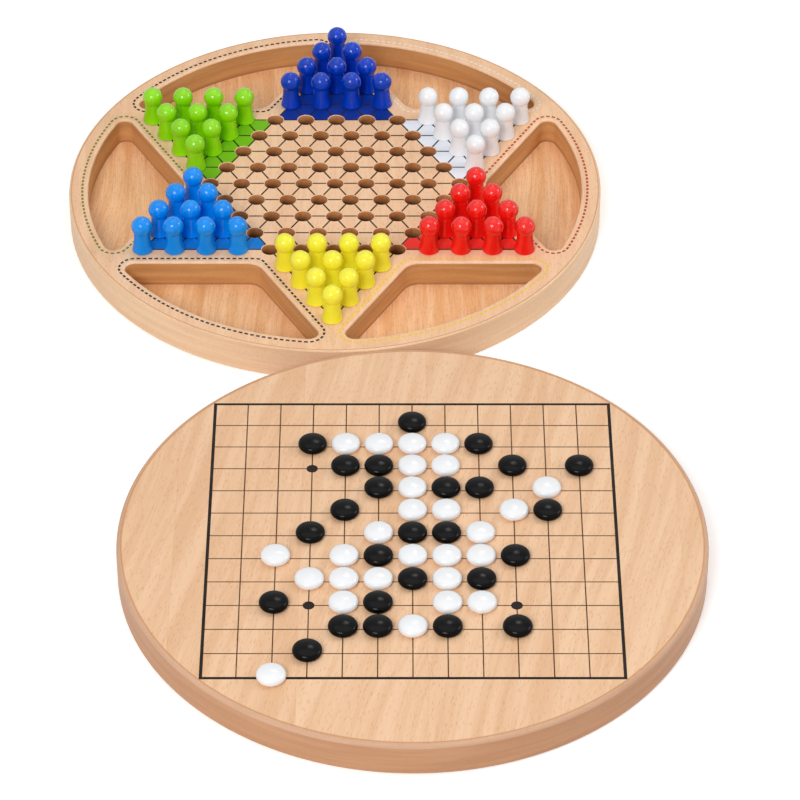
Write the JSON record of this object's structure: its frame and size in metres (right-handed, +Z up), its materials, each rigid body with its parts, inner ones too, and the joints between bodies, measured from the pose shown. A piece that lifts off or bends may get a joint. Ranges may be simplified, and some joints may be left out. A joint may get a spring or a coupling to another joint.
{
  "type": "game compendium",
  "caption": "Two round wooden game boards side by side: a star tray with corner wells and coloured pegs in its holes, and a square-grid board with black and white stones.",
  "frame": {"origin": "on the table, midway between the centres of the two round boards", "axes": "+X to the right and +Y from the grid board (front) to the star tray (rear), as the player in front sees them; +Z up"},
  "size_m": [0.3316, 0.5774, 0.04],
  "materials": {
    "tray_wood": "sanded beech, clear matt lacquer",
    "well_floor_wood": "thin panel, clear matt lacquer",
    "board_wood": "sanded beech, clear matt lacquer",
    "white_paint": "gloss paint over turned wood",
    "navy_paint": "gloss paint over turned wood",
    "green_paint": "gloss paint over turned wood",
    "sky_paint": "gloss paint over turned wood",
    "yellow_paint": "gloss paint over turned wood",
    "red_paint": "gloss paint over turned wood",
    "black_stone": "polished",
    "white_stone": "polished"
  },
  "bodies": {
    "five_row_board": {"five_row_board": "board_wood"},
    "star_tray": {"star_tray_top": "tray_wood", "star_tray_base": "well_floor_wood"},
    "white_pegs_row_1": {"white_pegs_row_1": "white_paint"},
    "white_pegs_row_2": {"white_pegs_row_2": "white_paint"},
    "white_pegs_row_3": {"white_pegs_row_3": "white_paint"},
    "white_pegs_row_4": {"white_pegs_row_4": "white_paint"},
    "navy_pegs_row_1": {"navy_pegs_row_1": "navy_paint"},
    "navy_pegs_row_2": {"navy_pegs_row_2": "navy_paint"},
    "navy_pegs_row_3": {"navy_pegs_row_3": "navy_paint"},
    "navy_pegs_row_4": {"navy_pegs_row_4": "navy_paint"},
    "green_pegs_row_1": {"green_pegs_row_1": "green_paint"},
    "green_pegs_row_2": {"green_pegs_row_2": "green_paint"},
    "green_pegs_row_3": {"green_pegs_row_3": "green_paint"},
    "green_pegs_row_4": {"green_pegs_row_4": "green_paint"},
    "sky_pegs_row_1": {"sky_pegs_row_1": "sky_paint"},
    "sky_pegs_row_2": {"sky_pegs_row_2": "sky_paint"},
    "sky_pegs_row_3": {"sky_pegs_row_3": "sky_paint"},
    "sky_pegs_row_4": {"sky_pegs_row_4": "sky_paint"},
    "yellow_pegs_row_1": {"yellow_pegs_row_1": "yellow_paint"},
    "yellow_pegs_row_2": {"yellow_pegs_row_2": "yellow_paint"},
    "yellow_pegs_row_3": {"yellow_pegs_row_3": "yellow_paint"},
    "yellow_pegs_row_4": {"yellow_pegs_row_4": "yellow_paint"},
    "red_pegs_row_1": {"red_pegs_row_1": "red_paint"},
    "red_pegs_row_2": {"red_pegs_row_2": "red_paint"},
    "red_pegs_row_3": {"red_pegs_row_3": "red_paint"},
    "red_pegs_row_4": {"red_pegs_row_4": "red_paint"},
    "black_stones_line_1": {"black_stones_line_1": "black_stone"},
    "black_stones_line_2": {"black_stones_line_2": "black_stone"},
    "black_stones_line_3": {"black_stones_line_3": "black_stone"},
    "black_stones_line_4": {"black_stones_line_4": "black_stone"},
    "black_stones_line_5": {"black_stones_line_5": "black_stone"},
    "black_stones_line_6": {"black_stones_line_6": "black_stone"},
    "black_stones_line_7": {"black_stones_line_7": "black_stone"},
    "black_stones_line_8": {"black_stones_line_8": "black_stone"},
    "black_stones_line_9": {"black_stones_line_9": "black_stone"},
    "black_stones_line_10": {"black_stones_line_10": "black_stone"},
    "black_stones_line_11": {"black_stones_line_11": "black_stone"},
    "white_stones_line_2": {"white_stones_line_2": "white_stone"},
    "white_stones_line_3": {"white_stones_line_3": "white_stone"},
    "white_stones_line_4": {"white_stones_line_4": "white_stone"},
    "white_stones_line_5": {"white_stones_line_5": "white_stone"},
    "white_stones_line_6": {"white_stones_line_6": "white_stone"},
    "white_stones_line_7": {"white_stones_line_7": "white_stone"},
    "white_stones_line_8": {"white_stones_line_8": "white_stone"},
    "white_stones_line_9": {"white_stones_line_9": "white_stone"},
    "white_stones_line_10": {"white_stones_line_10": "white_stone"},
    "white_stones_line_12": {"white_stones_line_12": "white_stone"}
  },
  "joints": [
    {"name": "star_tray_lift", "type": "slide", "parent": "five_row_board", "child": "star_tray", "axis": [0, 0, 1], "range_m": [0, 0.1]},
    {"name": "white_pegs_row_1_lift", "type": "slide", "parent": "star_tray", "child": "white_pegs_row_1", "axis": [0, 0, 1], "range_m": [0, 0.03]},
    {"name": "white_pegs_row_2_lift", "type": "slide", "parent": "star_tray", "child": "white_pegs_row_2", "axis": [0, 0, 1], "range_m": [0, 0.03]},
    {"name": "white_pegs_row_3_lift", "type": "slide", "parent": "star_tray", "child": "white_pegs_row_3", "axis": [0, 0, 1], "range_m": [0, 0.03]},
    {"name": "white_pegs_row_4_lift", "type": "slide", "parent": "star_tray", "child": "white_pegs_row_4", "axis": [0, 0, 1], "range_m": [0, 0.03]},
    {"name": "navy_pegs_row_1_lift", "type": "slide", "parent": "star_tray", "child": "navy_pegs_row_1", "axis": [0, 0, 1], "range_m": [0, 0.03]},
    {"name": "navy_pegs_row_2_lift", "type": "slide", "parent": "star_tray", "child": "navy_pegs_row_2", "axis": [0, 0, 1], "range_m": [0, 0.03]},
    {"name": "navy_pegs_row_3_lift", "type": "slide", "parent": "star_tray", "child": "navy_pegs_row_3", "axis": [0, 0, 1], "range_m": [0, 0.03]},
    {"name": "navy_pegs_row_4_lift", "type": "slide", "parent": "star_tray", "child": "navy_pegs_row_4", "axis": [0, 0, 1], "range_m": [0, 0.03]},
    {"name": "green_pegs_row_1_lift", "type": "slide", "parent": "star_tray", "child": "green_pegs_row_1", "axis": [0, 0, 1], "range_m": [0, 0.03]},
    {"name": "green_pegs_row_2_lift", "type": "slide", "parent": "star_tray", "child": "green_pegs_row_2", "axis": [0, 0, 1], "range_m": [0, 0.03]},
    {"name": "green_pegs_row_3_lift", "type": "slide", "parent": "star_tray", "child": "green_pegs_row_3", "axis": [0, 0, 1], "range_m": [0, 0.03]},
    {"name": "green_pegs_row_4_lift", "type": "slide", "parent": "star_tray", "child": "green_pegs_row_4", "axis": [0, 0, 1], "range_m": [0, 0.03]},
    {"name": "sky_pegs_row_1_lift", "type": "slide", "parent": "star_tray", "child": "sky_pegs_row_1", "axis": [0, 0, 1], "range_m": [0, 0.03]},
    {"name": "sky_pegs_row_2_lift", "type": "slide", "parent": "star_tray", "child": "sky_pegs_row_2", "axis": [0, 0, 1], "range_m": [0, 0.03]},
    {"name": "sky_pegs_row_3_lift", "type": "slide", "parent": "star_tray", "child": "sky_pegs_row_3", "axis": [0, 0, 1], "range_m": [0, 0.03]},
    {"name": "sky_pegs_row_4_lift", "type": "slide", "parent": "star_tray", "child": "sky_pegs_row_4", "axis": [0, 0, 1], "range_m": [0, 0.03]},
    {"name": "yellow_pegs_row_1_lift", "type": "slide", "parent": "star_tray", "child": "yellow_pegs_row_1", "axis": [0, 0, 1], "range_m": [0, 0.03]},
    {"name": "yellow_pegs_row_2_lift", "type": "slide", "parent": "star_tray", "child": "yellow_pegs_row_2", "axis": [0, 0, 1], "range_m": [0, 0.03]},
    {"name": "yellow_pegs_row_3_lift", "type": "slide", "parent": "star_tray", "child": "yellow_pegs_row_3", "axis": [0, 0, 1], "range_m": [0, 0.03]},
    {"name": "yellow_pegs_row_4_lift", "type": "slide", "parent": "star_tray", "child": "yellow_pegs_row_4", "axis": [0, 0, 1], "range_m": [0, 0.03]},
    {"name": "red_pegs_row_1_lift", "type": "slide", "parent": "star_tray", "child": "red_pegs_row_1", "axis": [0, 0, 1], "range_m": [0, 0.03]},
    {"name": "red_pegs_row_2_lift", "type": "slide", "parent": "star_tray", "child": "red_pegs_row_2", "axis": [0, 0, 1], "range_m": [0, 0.03]},
    {"name": "red_pegs_row_3_lift", "type": "slide", "parent": "star_tray", "child": "red_pegs_row_3", "axis": [0, 0, 1], "range_m": [0, 0.03]},
    {"name": "red_pegs_row_4_lift", "type": "slide", "parent": "star_tray", "child": "red_pegs_row_4", "axis": [0, 0, 1], "range_m": [0, 0.03]},
    {"name": "black_stones_line_1_lift", "type": "slide", "parent": "five_row_board", "child": "black_stones_line_1", "axis": [0, 0, 1], "range_m": [0, 0.03]},
    {"name": "black_stones_line_2_lift", "type": "slide", "parent": "five_row_board", "child": "black_stones_line_2", "axis": [0, 0, 1], "range_m": [0, 0.03]},
    {"name": "black_stones_line_3_lift", "type": "slide", "parent": "five_row_board", "child": "black_stones_line_3", "axis": [0, 0, 1], "range_m": [0, 0.03]},
    {"name": "black_stones_line_4_lift", "type": "slide", "parent": "five_row_board", "child": "black_stones_line_4", "axis": [0, 0, 1], "range_m": [0, 0.03]},
    {"name": "black_stones_line_5_lift", "type": "slide", "parent": "five_row_board", "child": "black_stones_line_5", "axis": [0, 0, 1], "range_m": [0, 0.03]},
    {"name": "black_stones_line_6_lift", "type": "slide", "parent": "five_row_board", "child": "black_stones_line_6", "axis": [0, 0, 1], "range_m": [0, 0.03]},
    {"name": "black_stones_line_7_lift", "type": "slide", "parent": "five_row_board", "child": "black_stones_line_7", "axis": [0, 0, 1], "range_m": [0, 0.03]},
    {"name": "black_stones_line_8_lift", "type": "slide", "parent": "five_row_board", "child": "black_stones_line_8", "axis": [0, 0, 1], "range_m": [0, 0.03]},
    {"name": "black_stones_line_9_lift", "type": "slide", "parent": "five_row_board", "child": "black_stones_line_9", "axis": [0, 0, 1], "range_m": [0, 0.03]},
    {"name": "black_stones_line_10_lift", "type": "slide", "parent": "five_row_board", "child": "black_stones_line_10", "axis": [0, 0, 1], "range_m": [0, 0.03]},
    {"name": "black_stones_line_11_lift", "type": "slide", "parent": "five_row_board", "child": "black_stones_line_11", "axis": [0, 0, 1], "range_m": [0, 0.03]},
    {"name": "white_stones_line_2_lift", "type": "slide", "parent": "five_row_board", "child": "white_stones_line_2", "axis": [0, 0, 1], "range_m": [0, 0.03]},
    {"name": "white_stones_line_3_lift", "type": "slide", "parent": "five_row_board", "child": "white_stones_line_3", "axis": [0, 0, 1], "range_m": [0, 0.03]},
    {"name": "white_stones_line_4_lift", "type": "slide", "parent": "five_row_board", "child": "white_stones_line_4", "axis": [0, 0, 1], "range_m": [0, 0.03]},
    {"name": "white_stones_line_5_lift", "type": "slide", "parent": "five_row_board", "child": "white_stones_line_5", "axis": [0, 0, 1], "range_m": [0, 0.03]},
    {"name": "white_stones_line_6_lift", "type": "slide", "parent": "five_row_board", "child": "white_stones_line_6", "axis": [0, 0, 1], "range_m": [0, 0.03]},
    {"name": "white_stones_line_7_lift", "type": "slide", "parent": "five_row_board", "child": "white_stones_line_7", "axis": [0, 0, 1], "range_m": [0, 0.03]},
    {"name": "white_stones_line_8_lift", "type": "slide", "parent": "five_row_board", "child": "white_stones_line_8", "axis": [0, 0, 1], "range_m": [0, 0.03]},
    {"name": "white_stones_line_9_lift", "type": "slide", "parent": "five_row_board", "child": "white_stones_line_9", "axis": [0, 0, 1], "range_m": [0, 0.03]},
    {"name": "white_stones_line_10_lift", "type": "slide", "parent": "five_row_board", "child": "white_stones_line_10", "axis": [0, 0, 1], "range_m": [0, 0.03]},
    {"name": "white_stones_line_12_lift", "type": "slide", "parent": "five_row_board", "child": "white_stones_line_12", "axis": [0, 0, 1], "range_m": [0, 0.03]}
  ]
}
